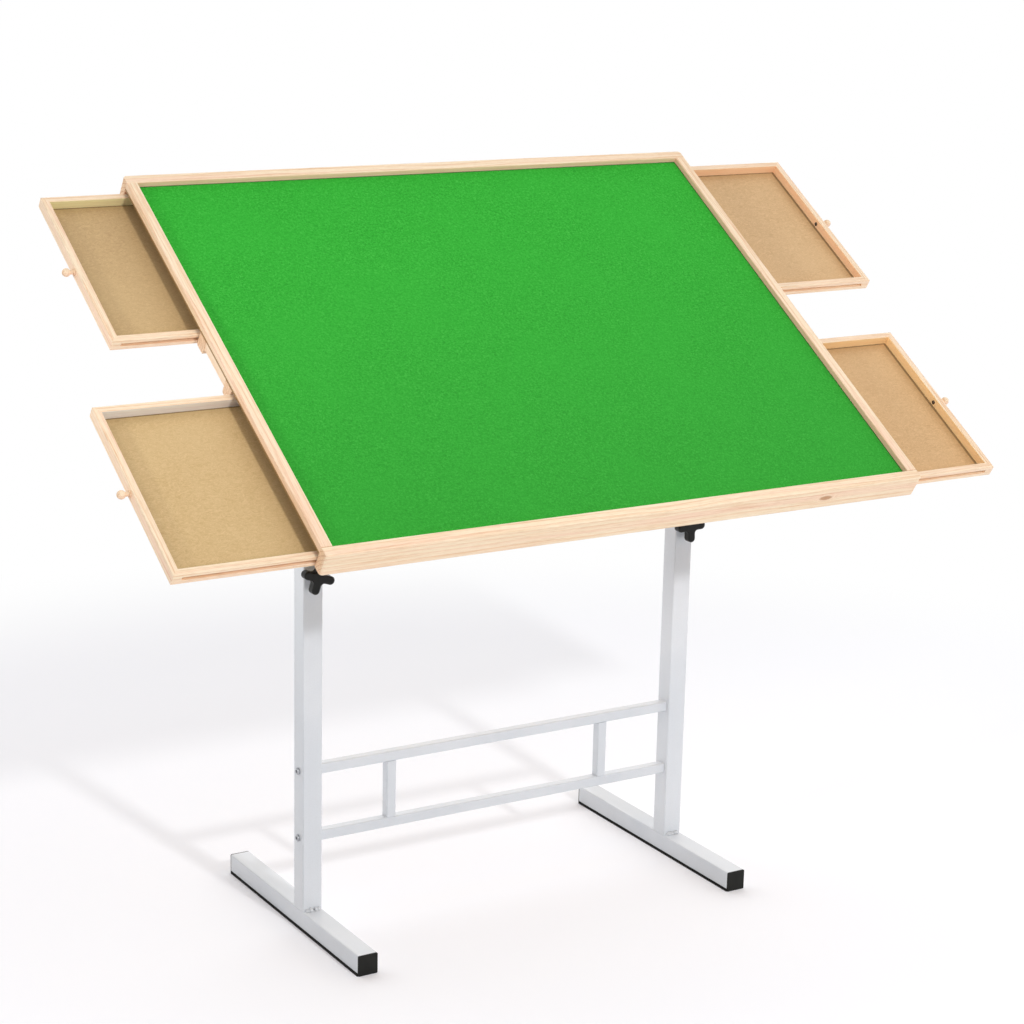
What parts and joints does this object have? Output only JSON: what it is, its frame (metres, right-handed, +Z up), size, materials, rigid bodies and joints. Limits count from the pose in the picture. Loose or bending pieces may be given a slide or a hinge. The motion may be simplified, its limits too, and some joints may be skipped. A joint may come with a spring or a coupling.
{
  "type": "jigsaw puzzle table",
  "caption": "Tilting felt-topped puzzle board with sliding sorting drawers on a height-adjustable steel stand.",
  "frame": {"origin": "on the floor, under the middle of the whole outline", "axes": "+X to the right along the board's long side, +Y away from the user, +Z up"},
  "size_m": [1.3488, 0.6385, 1.048],
  "materials": {
    "pine": "satin varnish",
    "turned_wood": "satin varnish",
    "hardboard": "smooth",
    "green_felt": "short nap",
    "white_steel": "gloss",
    "zinc_steel": "zinc plated",
    "black_plastic": "moulded"
  },
  "bodies": {
    "stand": {"left_foot": "white_steel", "right_foot": "white_steel", "foot_end_caps": "black_plastic", "left_leg": "white_steel", "right_leg": "white_steel", "upper_stretcher_rail": "white_steel", "lower_stretcher_rail": "white_steel", "stretcher_posts": "white_steel", "rail_end_plugs": "black_plastic", "stretcher_bolts": "zinc_steel", "leg_bushes": "black_plastic", "clamp_weld_nuts": "white_steel"},
    "lift": {"left_inner_tube": "white_steel", "right_inner_tube": "white_steel", "inner_tube_plugs": "black_plastic", "pivot_bolts": "zinc_steel", "tilt_lock_bolts": "zinc_steel"},
    "left_height_clamp": {"left_height_knob": "black_plastic", "left_height_stud": "zinc_steel"},
    "right_height_clamp": {"right_height_knob": "black_plastic", "right_height_stud": "zinc_steel"},
    "left_tilt_clamp": {"left_tilt_knob": "black_plastic"},
    "right_tilt_clamp": {"right_tilt_knob": "black_plastic"},
    "board": {"board_panel": "hardboard", "felt_surface": "green_felt", "front_rail": "pine", "back_rail": "pine", "left_side_rail": "pine", "right_side_rail": "pine", "front_mid_bar": "pine", "back_mid_bar": "pine", "end_fillers": "pine", "centre_ribs": "pine", "drawer_runners": "pine", "left_tilt_plate": "white_steel", "right_tilt_plate": "white_steel"},
    "back_left_drawer": {"back_left_drawer_front": "pine", "back_left_drawer_low_side": "pine", "back_left_drawer_high_side": "pine", "back_left_drawer_back": "pine", "back_left_drawer_floor": "hardboard", "back_left_drawer_pull": "turned_wood"},
    "front_left_drawer": {"front_left_drawer_front": "pine", "front_left_drawer_low_side": "pine", "front_left_drawer_high_side": "pine", "front_left_drawer_back": "pine", "front_left_drawer_floor": "hardboard", "front_left_drawer_pull": "turned_wood"},
    "back_right_drawer": {"back_right_drawer_front": "pine", "back_right_drawer_low_side": "pine", "back_right_drawer_high_side": "pine", "back_right_drawer_back": "pine", "back_right_drawer_floor": "hardboard", "back_right_drawer_pull": "turned_wood"},
    "front_right_drawer": {"front_right_drawer_front": "pine", "front_right_drawer_low_side": "pine", "front_right_drawer_high_side": "pine", "front_right_drawer_back": "pine", "front_right_drawer_floor": "hardboard", "front_right_drawer_pull": "turned_wood"}
  },
  "joints": [
    {"name": "board_height", "type": "slide", "parent": "stand", "child": "lift", "axis": [0, 0, 1], "range_m": [-0.165, 0.06]},
    {"name": "board_tilt", "type": "hinge", "parent": "lift", "child": "board", "pos_m": [0, 0.0427, 0.8042], "axis": [1, 0, 0], "range_deg": [-32.2, 17.8]},
    {"name": "left_height_knob_turn", "type": "hinge", "parent": "stand", "child": "left_height_clamp", "pos_m": [-0.31, 0.0127, 0.526], "axis": [0, 1, 0], "continuous": true},
    {"name": "right_height_knob_turn", "type": "hinge", "parent": "stand", "child": "right_height_clamp", "pos_m": [0.31, 0.0127, 0.526], "axis": [0, 1, 0], "continuous": true},
    {"name": "left_tilt_knob_turn", "type": "hinge", "parent": "lift", "child": "left_tilt_clamp", "pos_m": [-0.33, 0.0427, 0.7662], "axis": [1, 0, 0], "continuous": true},
    {"name": "right_tilt_knob_turn", "type": "hinge", "parent": "lift", "child": "right_tilt_clamp", "pos_m": [0.33, 0.0427, 0.7662], "axis": [1, 0, 0], "continuous": true},
    {"name": "back_left_drawer_slide", "type": "slide", "parent": "board", "child": "back_left_drawer", "axis": [-1, 0, 0], "range_m": [-0.1215, 0.1849]},
    {"name": "front_left_drawer_slide", "type": "slide", "parent": "board", "child": "front_left_drawer", "axis": [-1, 0, 0], "range_m": [-0.19, 0.1164]},
    {"name": "back_right_drawer_slide", "type": "slide", "parent": "board", "child": "back_right_drawer", "axis": [1, 0, 0], "range_m": [-0.19, 0.1164]},
    {"name": "front_right_drawer_slide", "type": "slide", "parent": "board", "child": "front_right_drawer", "axis": [1, 0, 0], "range_m": [-0.154, 0.1524]}
  ]
}
